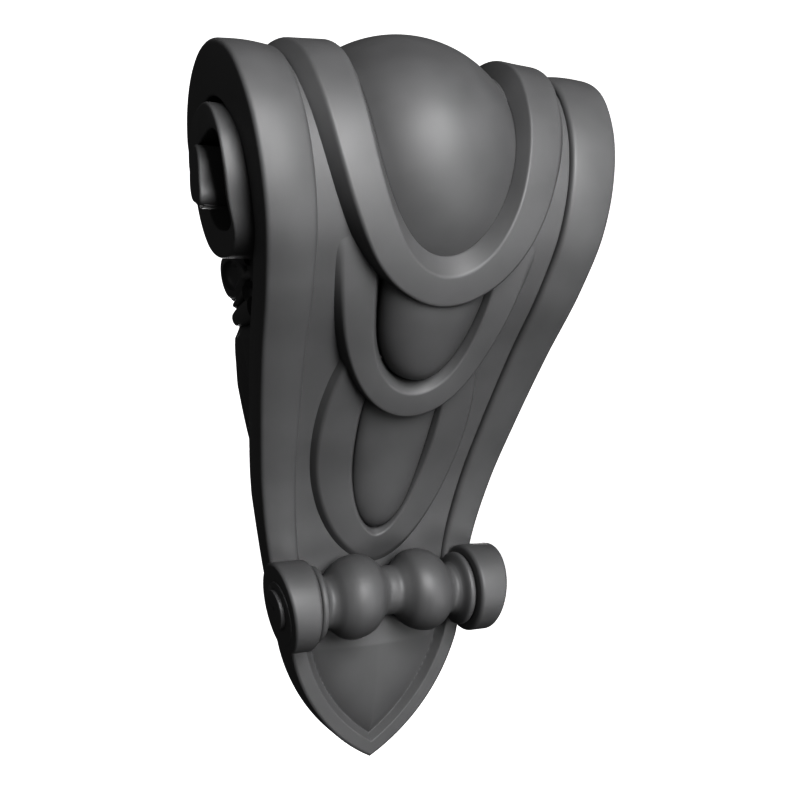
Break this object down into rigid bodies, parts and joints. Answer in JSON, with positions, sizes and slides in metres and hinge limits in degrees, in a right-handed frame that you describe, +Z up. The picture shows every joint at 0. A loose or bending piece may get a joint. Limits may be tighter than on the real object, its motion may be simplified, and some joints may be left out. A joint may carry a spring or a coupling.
{
  "type": "carved bracket",
  "caption": "Tapered S-scroll wall bracket with side volutes, a framed egg, hanging loops, a turned roll and a pointed pendant.",
  "frame": {"origin": "on the flat back face, on the centre plane, at half the height", "axes": "+X to the right as seen from the front, +Y into the wall, +Z up"},
  "size_m": [0.1682, 0.0888, 0.2991],
  "materials": {
    "painted_wood": "dark neutral grey satin paint on carved wood"
  },
  "bodies": {
    "root": {"carved_bracket": "painted_wood"}
  },
  "joints": []
}
